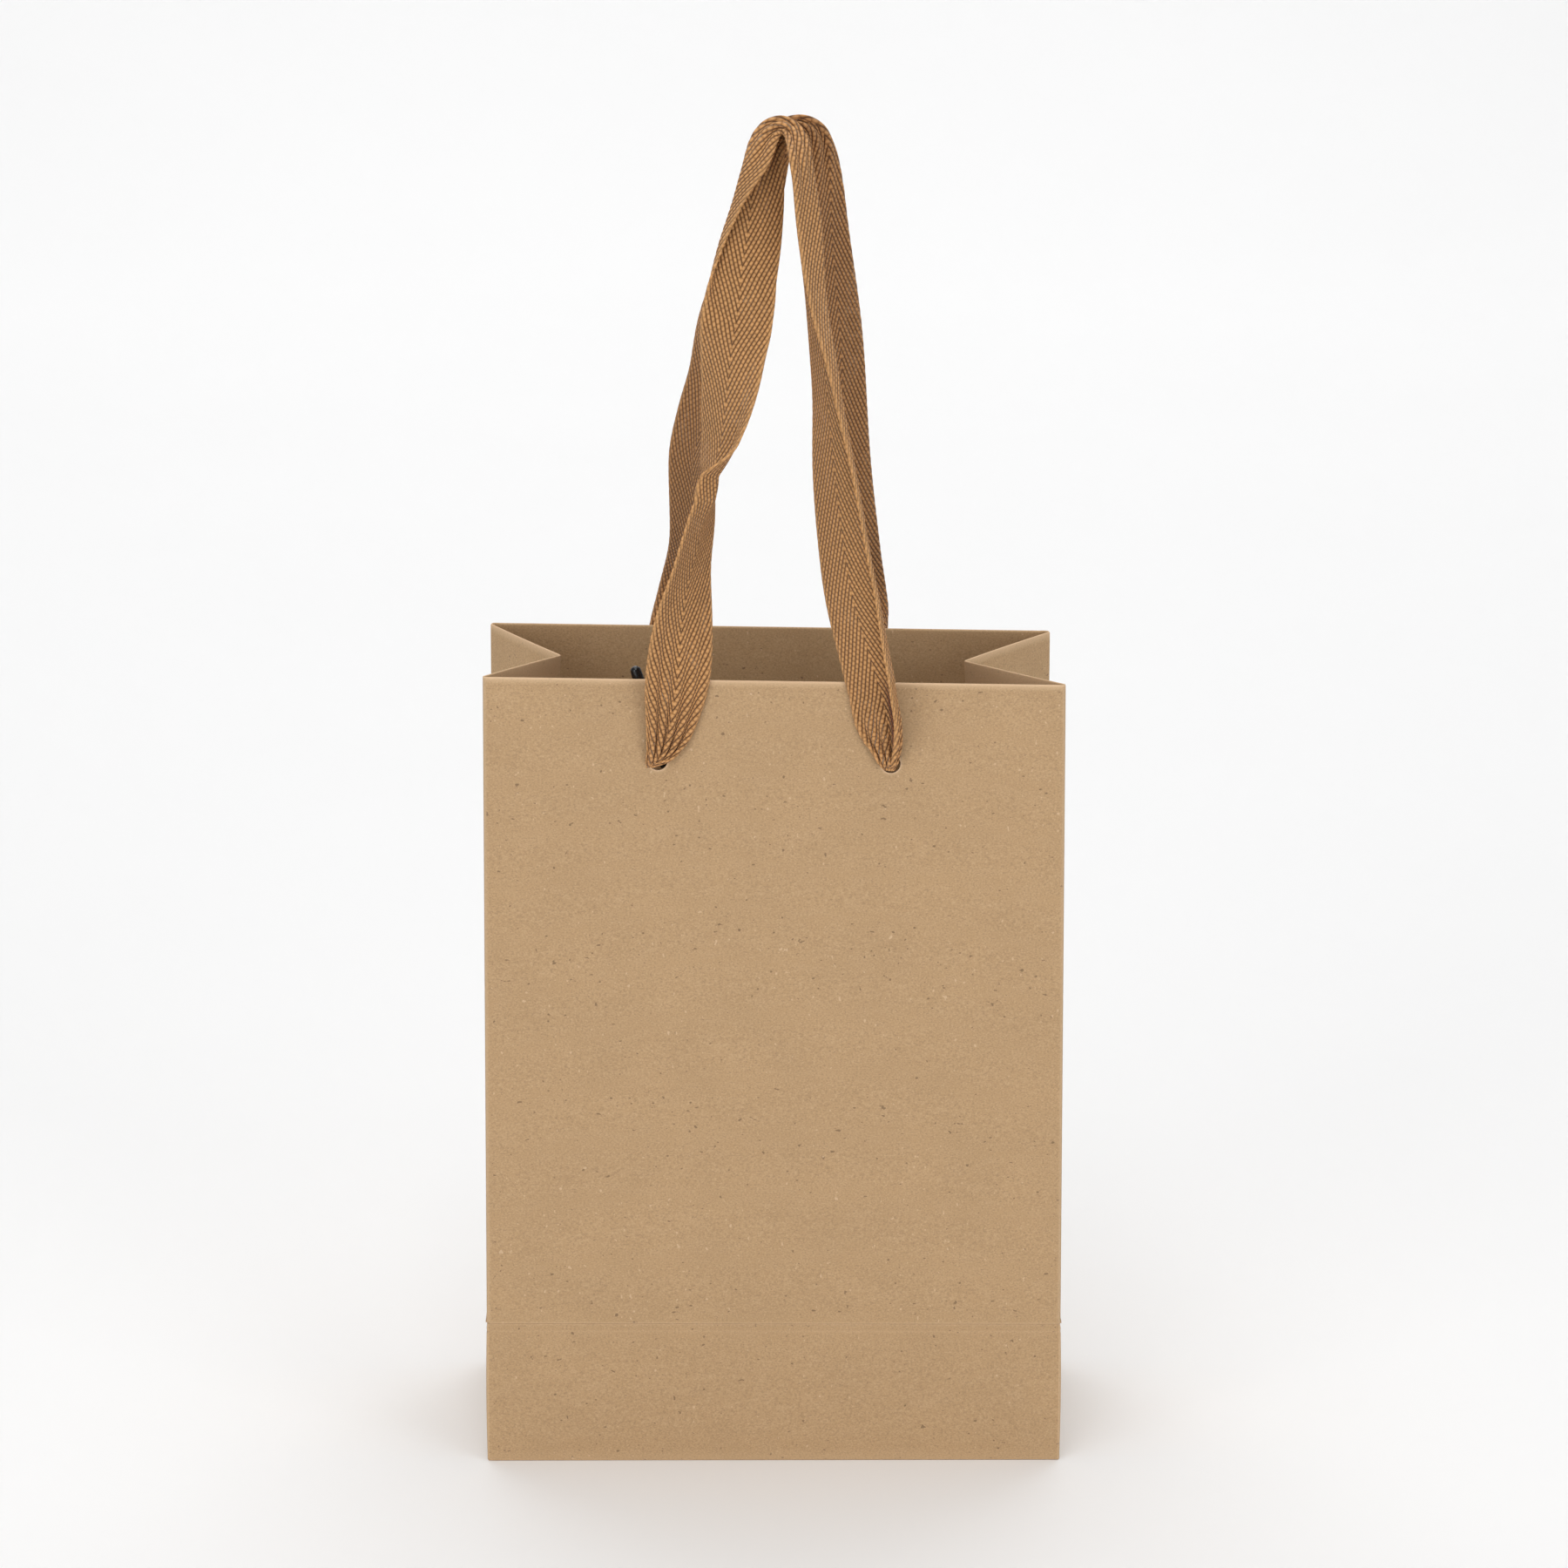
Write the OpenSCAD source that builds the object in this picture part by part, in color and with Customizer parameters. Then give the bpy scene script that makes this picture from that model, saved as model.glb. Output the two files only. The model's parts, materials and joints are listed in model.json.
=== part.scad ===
/* [Bag] */
// Width of the front and back panels
bag_w = 150; // [120:1:180]
// Depth of the bag at its base, which is the full width of a gusset
bag_d = 80; // [70:1:100]
// Height of the paper from the base to the top fold
bag_h = 210; // [180:1:240]
// Height of the crease round the bag, where the panels begin to lean
crease_h = 38; // [30:1:50]
// Lean of the front and back panels towards each other, in degrees
lean = 2.1; // [1.5:0.1:3]

/* [Paper and card] */
// Thickness of the paper
paper_t = 0.3; // [0.2:0.05:0.4]
// Thickness of the card inside each turned top edge
stiffener_t = 0.5; // [0.3:0.1:0.6]
// Thickness of the card that lies in the base
base_card_t = 0.8; // [0.5:0.1:1.5]
// Depth of the turned-in hem at the mouth
hem_h = 40; // [30:1:50]
// Width of the glued lap at the vertical seam
seam_w = 14; // [10:1:20]

/* [Handles] */
// Distance between the two holes of a panel
hole_pitch = 60; // [50:1:70]
// Distance of the holes from the top fold
hole_drop = 20; // [16:1:26]
// Diameter of the punched holes
hole_d = 5; // [4:0.5:6]
// Thickness of the woven tape
tape_t = 1; // [0.8:0.1:1.4]
// Gap between the two handles where their tops meet
handle_gap = 1.6; // [1:0.1:3]
// Length of a toggle bar
toggle_l = 28; // [22:1:32]
// Diameter of a toggle bar
toggle_d = 3; // [2.5:0.1:3.5]

/* [Hidden] */
$fn = 48;

KRAFT = [0.74, 0.61, 0.46];
KRAFT_INSIDE = [0.54, 0.41, 0.29];
CARD = [0.62, 0.55, 0.45];
TAPE = [0.65, 0.48, 0.31];
PLASTIC = [0.06, 0.06, 0.07];

// A small gap keeps each folded panel clear of the band below its crease
crease_gap = 0.1;
// Height of a leaning panel, measured along the panel
panel_h = bag_h - crease_h;
// The gussets turn about a line this far in from the outer face of the panel,
// so that they fold flat over the hem
gusset_axis_in = 4 * paper_t + stiffener_t + 0.3;
// Running gap between a panel's corner lip and the gusset that folds from it
fold_gap = 0.2;
// Height at which the corner lips and the gussets begin, clear of the lower bands
lip_start = 0.9;
// The half gussets begin this far from their fold line, clear of the lips
gusset_start = 0.6;
// The centre fold of each gusset is open: its halves stop this far from the middle
centre_gap = 0.3;
// The top inner corner of each half gusset is cut away so that the halves clear
gusset_cut_w = 5.2;
gusset_cut_h = 30;
// Height above the crease of the peak of the gusset's lower triangle
gore_h = 38;
// Clearance round that triangle
gore_gap = 1;
// Half of the mouth's depth, from the centre to the outer face of a panel
half_mouth = bag_d / 2 - panel_h * sin(lean);
// Angle through which each half gusset is folded in when the bag stands open
gusset_fold = acos((half_mouth - gusset_axis_in) / (bag_d / 2 - gusset_axis_in));
// Thickness of the turned top edge: panel, card and hem
edge_t = 2 * paper_t + stiffener_t;
// The card stops short of the panel's corners and of the hem's lower edge
stiffener_inset = 2;
// Height of the holes above the crease, along the panel
hole_v = panel_h - hole_drop;
// The tape's neck sits this far outside the panel's outer face
neck_r = 1.9;
neck_out = neck_r + 0.3;
// How far the flaps of the base reach across it
back_flap_d = 48;
front_flap_d = 52;
end_flap_l = 44;
card_gap = 1.2;
// Spare length of a cutting tool past each face
cut = 1;

// Places a panel's own frame: x across, y inwards from the outer face, z up the panel
module on_front() {
  translate([0, -bag_d / 2, crease_h]) rotate([-lean, 0, 0]) children();
}

module on_back() {
  mirror([0, 1, 0]) on_front() children();
}

module hole_pair() {
  for (side = [-1, 1])
    translate([side * hole_pitch / 2, -cut, hole_v])
      rotate([-90, 0, 0]) cylinder(d = hole_d, h = edge_t + 2 * cut);
}

// ---- Lower part, below the crease ----

module cross_band() {
  translate([-bag_w / 2, -bag_d / 2, 0]) cube([bag_w, paper_t, crease_h]);
}

module end_band() {
  translate([-bag_w / 2, -bag_d / 2 + paper_t, 0])
    cube([paper_t, bag_d - 2 * paper_t, crease_h]);
}

module main_flap(reach, z) {
  translate([-bag_w / 2 + paper_t, -bag_d / 2 + paper_t, z])
    cube([bag_w - 2 * paper_t, reach, paper_t]);
}

// An end flap narrows at 45 degrees from the corners of the base
module end_flap() {
  half_d = bag_d / 2 - paper_t;
  translate([-bag_w / 2 + paper_t, 0, 2 * paper_t])
    linear_extrude(paper_t)
      polygon([
        [0, -half_d],
        [0, half_d],
        [end_flap_l / 2, half_d - end_flap_l / 2],
        [end_flap_l, half_d - end_flap_l / 2],
        [end_flap_l, -half_d + end_flap_l / 2],
        [end_flap_l / 2, -half_d + end_flap_l / 2]
      ]);
}

module front_lower_band() {
  color(KRAFT) cross_band();
}

module back_lower_band() {
  color(KRAFT) mirror([0, 1, 0]) cross_band();
}

module left_lower_band() {
  color(KRAFT) end_band();
}

module right_lower_band() {
  color(KRAFT) mirror([1, 0, 0]) end_band();
}

module bottom_back_flap() {
  color(KRAFT) mirror([0, 1, 0]) main_flap(back_flap_d, 0);
}

module bottom_front_flap() {
  color(KRAFT) main_flap(front_flap_d, paper_t);
}

module bottom_left_flap() {
  color(KRAFT) end_flap();
}

module bottom_right_flap() {
  color(KRAFT) mirror([1, 0, 0]) end_flap();
}

module base_card() {
  card_l = bag_w - 2 * card_gap;
  card_d = bag_d - 2 * card_gap;
  color(CARD)
    translate([-card_l / 2, -card_d / 2, 3 * paper_t])
      cube([card_l, card_d, base_card_t]);
}

module seam_lap_lower() {
  z_low = 3 * paper_t + base_card_t;
  color(KRAFT_INSIDE)
    translate([-bag_w / 2 + paper_t, bag_d / 2 - 2 * paper_t, z_low])
      cube([seam_w, paper_t, crease_h - z_low - crease_gap]);
}

// ---- Front and back panels ----

// A panel wraps round both corners as far as the gusset's fold line
module panel_sheet() {
  lip = gusset_axis_in - fold_gap;
  difference() {
    union() {
      translate([-bag_w / 2, 0, crease_gap])
        cube([bag_w, paper_t, panel_h - crease_gap]);
      for (side = [0, 1])
        mirror([side, 0, 0])
          translate([-bag_w / 2, 0, lip_start])
            cube([paper_t, lip, panel_h - lip_start]);
    }
    hole_pair();
  }
}

// The hem turns over the top of the card and comes down its inner face
module panel_hem() {
  hem_w = bag_w - 2 * paper_t;
  difference() {
    translate([-hem_w / 2, paper_t, panel_h - hem_h])
      cube([hem_w, stiffener_t + paper_t, hem_h]);
    translate([-hem_w / 2 - cut, paper_t - cut, panel_h - hem_h - cut])
      cube([hem_w + 2 * cut, stiffener_t + cut, hem_h + cut - paper_t]);
    hole_pair();
  }
}

module panel_stiffener() {
  card_w = bag_w - 2 * stiffener_inset;
  card_h = hem_h - paper_t - stiffener_inset;
  difference() {
    translate([-card_w / 2, paper_t, panel_h - paper_t - card_h])
      cube([card_w, stiffener_t, card_h]);
    hole_pair();
  }
}

module front_panel() {
  color(KRAFT) on_front() panel_sheet();
}

module front_hem() {
  color(KRAFT_INSIDE) on_front() panel_hem();
}

module front_stiffener() {
  color(CARD) on_front() panel_stiffener();
}

module back_panel() {
  color(KRAFT) on_back() panel_sheet();
}

module back_hem() {
  color(KRAFT_INSIDE) on_back() panel_hem();
}

module back_stiffener() {
  color(CARD) on_back() panel_stiffener();
}

module seam_lap_upper() {
  color(KRAFT_INSIDE)
    on_back()
      translate([-bag_w / 2 + paper_t, paper_t, lip_start])
        cube([seam_w, paper_t, panel_h - hem_h - lip_start]);
}

// ---- Gussets ----

// Distance along a half gusset from its fold line to the bag's middle, at height v
function gusset_reach(v) =
  ((bag_d / 2 - centre_gap - v * sin(lean)) / cos(lean) - gusset_axis_in) / cos(gusset_fold);

// The lower triangle leans in until its peak meets the half gussets. It starts a paper's
// thickness up the slope, clear of the top of the band below.
gore_in = gusset_reach(gore_h) * sin(gusset_fold);
gore_lean = atan(gore_in / gore_h);
gore_start = paper_t;

module gusset_gore() {
  half_base = bag_d / 2 - gusset_axis_in - 2 * gore_gap;
  slant = gore_h / cos(gore_lean);
  translate([-bag_w / 2, 0, crease_h])
    rotate([0, gore_lean, 0])
      translate([paper_t, 0, 0]) rotate([0, -90, 0])
        linear_extrude(paper_t)
          polygon([
            [gore_start, -half_base],
            [slant - 2 * gore_gap, -gore_gap / 2],
            [slant - 2 * gore_gap, gore_gap / 2],
            [gore_start, half_base]
          ]);
}

module left_gusset_gore() {
  color(KRAFT) gusset_gore();
}

module right_gusset_gore() {
  color(KRAFT) mirror([1, 0, 0]) gusset_gore();
}

// Outline of a half gusset, above its triangle: x along the half, y up the panel
module half_gusset_outline() {
  polygon([
    [gusset_start, lip_start + gore_gap],
    [gusset_reach(gore_h), gore_h + gore_gap],
    [gusset_reach(panel_h - gusset_cut_h), panel_h - gusset_cut_h],
    [gusset_reach(panel_h) - gusset_cut_w, panel_h],
    [gusset_start, panel_h]
  ]);
}

module half_gusset_hem_outline() {
  intersection() {
    half_gusset_outline();
    translate([0, panel_h - hem_h]) square([bag_d, hem_h]);
  }
}

// Stands the outline up at the left fold line, folded in by gusset_fold
module at_left_fold(depth) {
  translate([-bag_w / 2, gusset_axis_in, 0])
    rotate([0, 0, 90 - gusset_fold])
      translate([0, -depth, 0]) rotate([90, 0, 0])
        linear_extrude(paper_t) children();
}

module half_gusset_sheet() {
  at_left_fold(0) half_gusset_outline();
}

module half_gusset_hem() {
  at_left_fold(paper_t) half_gusset_hem_outline();
}

module left_front_gusset() {
  color(KRAFT) on_front() half_gusset_sheet();
}

module left_front_gusset_hem() {
  color(KRAFT_INSIDE) on_front() half_gusset_hem();
}

module left_back_gusset() {
  color(KRAFT) on_back() half_gusset_sheet();
}

module left_back_gusset_hem() {
  color(KRAFT_INSIDE) on_back() half_gusset_hem();
}

module right_front_gusset() {
  color(KRAFT) mirror([1, 0, 0]) on_front() half_gusset_sheet();
}

module right_front_gusset_hem() {
  color(KRAFT_INSIDE) mirror([1, 0, 0]) on_front() half_gusset_hem();
}

module right_back_gusset() {
  color(KRAFT) mirror([1, 0, 0]) on_back() half_gusset_sheet();
}

module right_back_gusset_hem() {
  color(KRAFT_INSIDE) mirror([1, 0, 0]) on_back() half_gusset_hem();
}

// ---- Toggles and the tape's ends inside the bag ----

// A toggle lies behind its hole, over the flat end of the tape. Each is placed by how far
// its middle is from the hole, outwards and upwards, and by its tilt away from vertical.
FRONT_LEFT = [0.6, 10.8, 17];
FRONT_RIGHT = [1, 1, 35];
BACK_LEFT = [0.5, -7, 30];
BACK_RIGHT = [0, 1, -16];

// The tape's end is pressed flat and folded round the bar as a collar
tail_w = 4;
tail_t = 0.7;
tail_in = edge_t + 0.1;
toggle_in = tail_in + tail_t + 0.1 + toggle_d / 2;
collar_r = toggle_d / 2 + 0.8;
collar_w = 5;
plug_r = hole_d / 2 - 0.3;

// Moves to the middle of a toggle and tilts its length to z
module at_toggle(place) {
  translate([-hole_pitch / 2 - place[0], toggle_in, hole_v + place[1]])
    rotate([0, -place[2], 0]) children();
}

module toggle_bar(place) {
  straight = toggle_l - toggle_d;
  at_toggle(place) {
    cylinder(d = toggle_d, h = straight, center = true);
    for (end = [-1, 1])
      translate([0, 0, end * straight / 2]) sphere(d = toggle_d);
  }
}

// The gathered end of the tape: through the hole, up the hem and round the bar
module tape_tail(place) {
  difference() {
    union() {
      translate([-hole_pitch / 2, 0.1, hole_v])
        rotate([-90, 0, 0]) cylinder(r = plug_r, h = tail_in + tail_t - 0.1);
      translate([-hole_pitch / 2, tail_in, hole_v])
        rotate([0, -atan2(place[0], place[1]), 0])
          translate([-tail_w / 2, 0, 0])
            cube([tail_w, tail_t, norm([place[0], place[1]])]);
      at_toggle(place) cylinder(r = collar_r, h = collar_w, center = true);
    }
    at_toggle(place) cylinder(d = toggle_d, h = toggle_l - toggle_d, center = true);
  }
}

module front_left_toggle() {
  color(PLASTIC) on_front() toggle_bar(FRONT_LEFT);
}

module front_right_toggle() {
  color(PLASTIC) on_front() mirror([1, 0, 0]) toggle_bar(FRONT_RIGHT);
}

module back_left_toggle() {
  color(PLASTIC) on_back() toggle_bar(BACK_LEFT);
}

module back_right_toggle() {
  color(PLASTIC) on_back() mirror([1, 0, 0]) toggle_bar(BACK_RIGHT);
}

module front_left_tail() {
  color(TAPE) on_front() tape_tail(FRONT_LEFT);
}

module front_right_tail() {
  color(TAPE) on_front() mirror([1, 0, 0]) tape_tail(FRONT_RIGHT);
}

module back_left_tail() {
  color(TAPE) on_back() tape_tail(BACK_LEFT);
}

module back_right_tail() {
  color(TAPE) on_back() mirror([1, 0, 0]) tape_tail(BACK_RIGHT);
}

// ---- Handles ----

// The tape is gathered to a round neck outside each hole, about which the handle turns
module neck_pair() {
  for (side = [-1, 1])
    translate([side * hole_pitch / 2, -neck_out, hole_v]) sphere(r = neck_r);
}

module front_tape_necks() {
  color(TAPE) on_front() neck_pair();
}

module back_tape_necks() {
  color(TAPE) on_back() neck_pair();
}

// Stations along a handle from its left hole over the top to its right hole:
// x, height above the holes, and width of the tape there
HANDLE = [
  [-29.6, 2.4, 4.5], [-28.6, 6, 7], [-27, 12, 12], [-25.5, 20, 16], [-23.5, 34, 17],
  [-20.5, 54, 18], [-17, 74, 18], [-13, 96, 18], [-9, 118, 17], [-6, 136, 13],
  [-4, 148, 8], [-2, 155, 5.5], [1.5, 158.5, 5], [5, 155, 5.5], [7, 148, 8],
  [9, 136, 13], [12, 118, 17], [15, 96, 18], [17.5, 74, 18], [20, 54, 18],
  [23, 34, 17], [25.5, 20, 16], [27, 12, 12], [28.6, 6, 7], [29.6, 2.4, 4.5]
];

hole_z = crease_h + hole_v * cos(lean);
hole_y = -bag_d / 2 + hole_v * sin(lean);
// The tape runs up the outer face to the top edge, then leans in to the meeting point
rise_top = hole_drop + 2;
tape_out = tape_t / 2 + 0.35;
apex_rise = 158.5;
meet_y = -(handle_gap + tape_t) / 2;

// Distance of the tape's middle from the bag's centre plane at a height above the holes
function tape_y(rise) =
  let (start = hole_y - tape_out, edge = start + rise_top * tan(lean))
    rise <= rise_top
      ? start + rise * tan(lean)
      : edge + (meet_y - edge) * (rise - rise_top) / (apex_rise - rise_top);

function tape_point(i) = [HANDLE[i][0], tape_y(HANDLE[i][1]), hole_z + HANDLE[i][1]];

function unit(v) = v / norm(v);

// Direction of the tape at a station, from the stations on each side of it
function along(i) =
  unit(tape_point(min(i + 1, len(HANDLE) - 1)) - tape_point(max(i - 1, 0)));

// The tape's width lies across its path in the plane of the handle
function across(i) = unit([along(i)[2], 0, -along(i)[0]]);

function tape_ring(i) =
  let (c = tape_point(i), w = across(i) * HANDLE[i][2] / 2, t = [0, tape_t / 2, 0])
    [c - w - t, c + w - t, c + w + t, c - w + t];

module handle_tape() {
  last = len(HANDLE) - 1;
  rings = [for (i = [0:last]) each tape_ring(i)];
  sides = [
    for (i = [0:last - 1], k = [0:3])
      each [
        [4 * i + k, 4 * i + (k + 1) % 4, 4 * i + 4 + (k + 1) % 4],
        [4 * i + k, 4 * i + 4 + (k + 1) % 4, 4 * i + 4 + k]
      ]
  ];
  ends = [[3, 2, 1, 0], [4 * last, 4 * last + 1, 4 * last + 2, 4 * last + 3]];
  polyhedron(points = rings, faces = concat(sides, ends));
}

module front_handle() {
  color(TAPE) handle_tape();
}

module back_handle() {
  color(TAPE) mirror([0, 1, 0]) handle_tape();
}

front_lower_band();
back_lower_band();
left_lower_band();
right_lower_band();
bottom_back_flap();
bottom_front_flap();
bottom_left_flap();
bottom_right_flap();
base_card();
seam_lap_lower();
front_panel();
front_hem();
front_stiffener();
front_left_toggle();
front_right_toggle();
front_left_tail();
front_right_tail();
back_panel();
back_hem();
back_stiffener();
seam_lap_upper();
back_left_toggle();
back_right_toggle();
back_left_tail();
back_right_tail();
left_gusset_gore();
right_gusset_gore();
left_front_gusset();
left_front_gusset_hem();
left_back_gusset();
left_back_gusset_hem();
right_front_gusset();
right_front_gusset_hem();
right_back_gusset();
right_back_gusset_hem();
front_tape_necks();
back_tape_necks();
front_handle();
back_handle();
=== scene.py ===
"""Kraft paper gift bag with woven tape handles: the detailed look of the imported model."""
import json
import math

import bpy
import numpy as np
from mathutils import Matrix, Vector


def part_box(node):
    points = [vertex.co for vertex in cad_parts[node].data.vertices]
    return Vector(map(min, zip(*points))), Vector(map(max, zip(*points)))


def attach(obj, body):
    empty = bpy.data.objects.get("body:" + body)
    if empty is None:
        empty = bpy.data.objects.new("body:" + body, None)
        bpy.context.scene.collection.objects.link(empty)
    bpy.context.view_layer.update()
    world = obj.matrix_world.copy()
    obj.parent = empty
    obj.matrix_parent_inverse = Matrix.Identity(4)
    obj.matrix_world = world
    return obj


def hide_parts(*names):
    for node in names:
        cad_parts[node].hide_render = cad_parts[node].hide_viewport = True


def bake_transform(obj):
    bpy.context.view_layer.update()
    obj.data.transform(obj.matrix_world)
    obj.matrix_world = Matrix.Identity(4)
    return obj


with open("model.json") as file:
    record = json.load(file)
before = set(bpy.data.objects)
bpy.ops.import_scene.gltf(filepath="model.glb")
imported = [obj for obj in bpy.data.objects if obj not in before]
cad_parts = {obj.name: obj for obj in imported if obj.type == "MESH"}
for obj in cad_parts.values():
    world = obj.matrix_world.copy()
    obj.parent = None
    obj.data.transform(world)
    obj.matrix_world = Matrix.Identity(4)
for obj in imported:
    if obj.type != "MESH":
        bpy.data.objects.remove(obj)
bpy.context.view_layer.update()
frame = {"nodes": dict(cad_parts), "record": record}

MM = 0.001

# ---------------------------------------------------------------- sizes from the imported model

JOINT = {j["name"]: j for j in frame["record"]["behaviour"]["joints"]}


def node_box(name):
    low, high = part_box(name)
    return np.array(low), np.array(high)


band_low, band_high = node_box("front_lower_band")
HALF_W = band_high[0]
HALF_D = -band_low[1]
CREASE = band_high[2]
PAPER = band_high[1] - band_low[1]
UP = np.array(JOINT["fold_right_front"]["axis"], float)
UP /= np.linalg.norm(UP)
LEAN_S, LEAN_C = UP[1], UP[2]
PANEL_H = (node_box("front_panel")[1][2] - CREASE) / LEAN_C


def panel_local(point):
    """(u, v, w) of a point: across the front panel, up it, and in from its outer face."""
    y, z = point[1] + HALF_D, point[2] - CREASE
    return point[0], y * LEAN_S + z * LEAN_C, y * LEAN_C - z * LEAN_S


HINGE_IN = panel_local(JOINT["fold_right_front"]["pos_m"])[2]
_, HOLE_V, hole_mid = panel_local(JOINT["front_neck_turn"]["pos_m"])
# the photo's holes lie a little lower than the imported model's
HOLE_DROP = 1.2 * MM
HOLE_V -= HOLE_DROP
EDGE_T = 2 * hole_mid
neck_low, neck_high = node_box("front_tape_necks")
HOLE_X = neck_high[0] - (neck_high[2] - neck_low[2]) / 2
HOLE_Z = CREASE + (HOLE_V + HOLE_DROP) * LEAN_C
HOLE_R = 2.5 * MM
# the grid is bent into a round opening as far as this from a hole's centre, and has this spacing there
PUNCH_REACH = 3 * HOLE_R
PUNCH_STEP = HOLE_R / 5
HEM_H = 40 * MM
GORE_H = 40 * MM
FOOT_SPREAD = 1.3 * MM
MOUTH_SINK = 1.0 * MM
# how deep each gusset is folded in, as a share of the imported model's
LEFT_FOLD, RIGHT_FOLD = 0.88, 1.12


def settle(p):
    """The bag isn't quite square: its right side spreads at the foot, and its mouth sinks to the right."""
    p = np.array(p, float)
    share = p[..., 0] / HALF_W
    rise = p[..., 2] / (CREASE + PANEL_H)
    p[..., 0] += FOOT_SPREAD * np.clip(share, 0, 1) * np.clip(1 - rise, 0, 1)
    p[..., 2] -= MOUTH_SINK * share * np.clip(rise, 0, 1)
    return p


def on_panel(u, v, w, back=False):
    """Points of the row frame from a panel's own (u, v, w)."""
    u, v, w = np.broadcast_arrays(u, v, w)
    y = -HALF_D + v * LEAN_S + w * LEAN_C
    return np.stack([u, -y if back else y, CREASE + v * LEAN_C - w * LEAN_S], -1)


def smooth(t, low=0.0, high=1.0):
    t = np.clip((np.asarray(t, float) - low) / (high - low), 0, 1)
    return t * t * (3 - 2 * t)


# ---------------------------------------------------------------- meshes


def make_object(name, verts, faces, material, uv=None, wear_and_painted_light=None, sharp=40, attribute_name="wear_and_painted_light"):
    mesh = bpy.data.meshes.new(name)
    faces = faces.tolist() if isinstance(faces, np.ndarray) else faces
    mesh.from_pydata(np.asarray(verts).tolist(), [], faces)
    mesh.validate()
    if uv is not None:
        layer = mesh.uv_layers.new(name="Across_Along")
        index = np.empty(len(mesh.loops), np.int32)
        mesh.loops.foreach_get("vertex_index", index)
        layer.data.foreach_set("uv", np.asarray(uv, np.float32)[index].ravel())
    if wear_and_painted_light is not None:
        attribute = mesh.attributes.new(attribute_name, "FLOAT", "POINT")
        attribute.data.foreach_set("value", np.asarray(wear_and_painted_light, np.float32).ravel())
    mesh.materials.append(material)
    mesh.polygons.foreach_set("use_smooth", [True] * len(mesh.polygons))
    mesh.set_sharp_from_angle(angle=math.radians(sharp))
    obj = bpy.data.objects.new(name, mesh)
    bpy.context.scene.collection.objects.link(obj)
    return obj


def grid_faces(rows, cols, keep=None):
    i, j = np.meshgrid(np.arange(rows - 1), np.arange(cols - 1), indexing="ij")
    a = i * cols + j
    quads = np.stack([a, a + 1, a + cols + 1, a + cols], -1)
    return (quads if keep is None else quads[keep]).reshape(-1, 4)


def shell(
    name, outer, inner, material, keep=None, uv=None, wear_and_painted_light=None, flip=False, sharp=40, attribute_name="wear_and_painted_light"
):
    """A closed sheet between two grids of points, with walls at its edges and round its openings.

    The pale or dark marks (wear, painted highlight, painted light and painted shade) can be a pair of values,
    one for each side.
    """
    rows, cols = outer.shape[:2]
    n = rows * cols
    top = grid_faces(rows, cols, keep)
    edges = np.concatenate([top[:, [k, (k + 1) % 4]] for k in range(4)])
    twins = {(int(a), int(b)) for a, b in edges}
    rim = [e for e in sorted(twins) if (e[1], e[0]) not in twins]
    walls = np.array([[b, a, a + n, b + n] for a, b in rim])
    faces = np.concatenate([top, top[:, ::-1] + n, walls])
    if flip:
        faces = faces[:, ::-1]
    verts = np.concatenate([outer.reshape(-1, 3), inner.reshape(-1, 3)])
    used = np.unique(faces)
    renumber = np.full(2 * n, -1)
    renumber[used] = np.arange(len(used))
    both = lambda a, b: None if a is None else np.concatenate([a.reshape(n, -1), b.reshape(n, -1)])[used]
    wear_and_painted_light = wear_and_painted_light if isinstance(wear_and_painted_light, tuple) else (wear_and_painted_light, wear_and_painted_light)
    faces = renumber[faces]
    return make_object(
        name, verts[used], faces, material, both(uv, uv), both(*wear_and_painted_light), sharp, attribute_name
    )


def lines(*stops):
    """Grid lines through (position, step after it) stops."""
    found = []
    for (a, step), (b, _) in zip(stops, stops[1:]):
        count = max(1, int(round((b - a) / step)))
        found += list(a + (b - a) * np.arange(count) / count)
    return np.array(found + [stops[-1][0]])


def turned_edge(s, top, radius):
    """Height and inward offset of a sheet that goes up to top, turns over with that radius and comes down."""
    start = top - radius
    angle = np.clip((s - start) / radius, 0, math.pi)
    after = np.clip(s - start - math.pi * radius, 0, None)
    v = np.minimum(s, start) + radius * np.sin(angle) - after
    return v, radius * (1 - np.cos(angle))


# ---------------------------------------------------------------- materials


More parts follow.
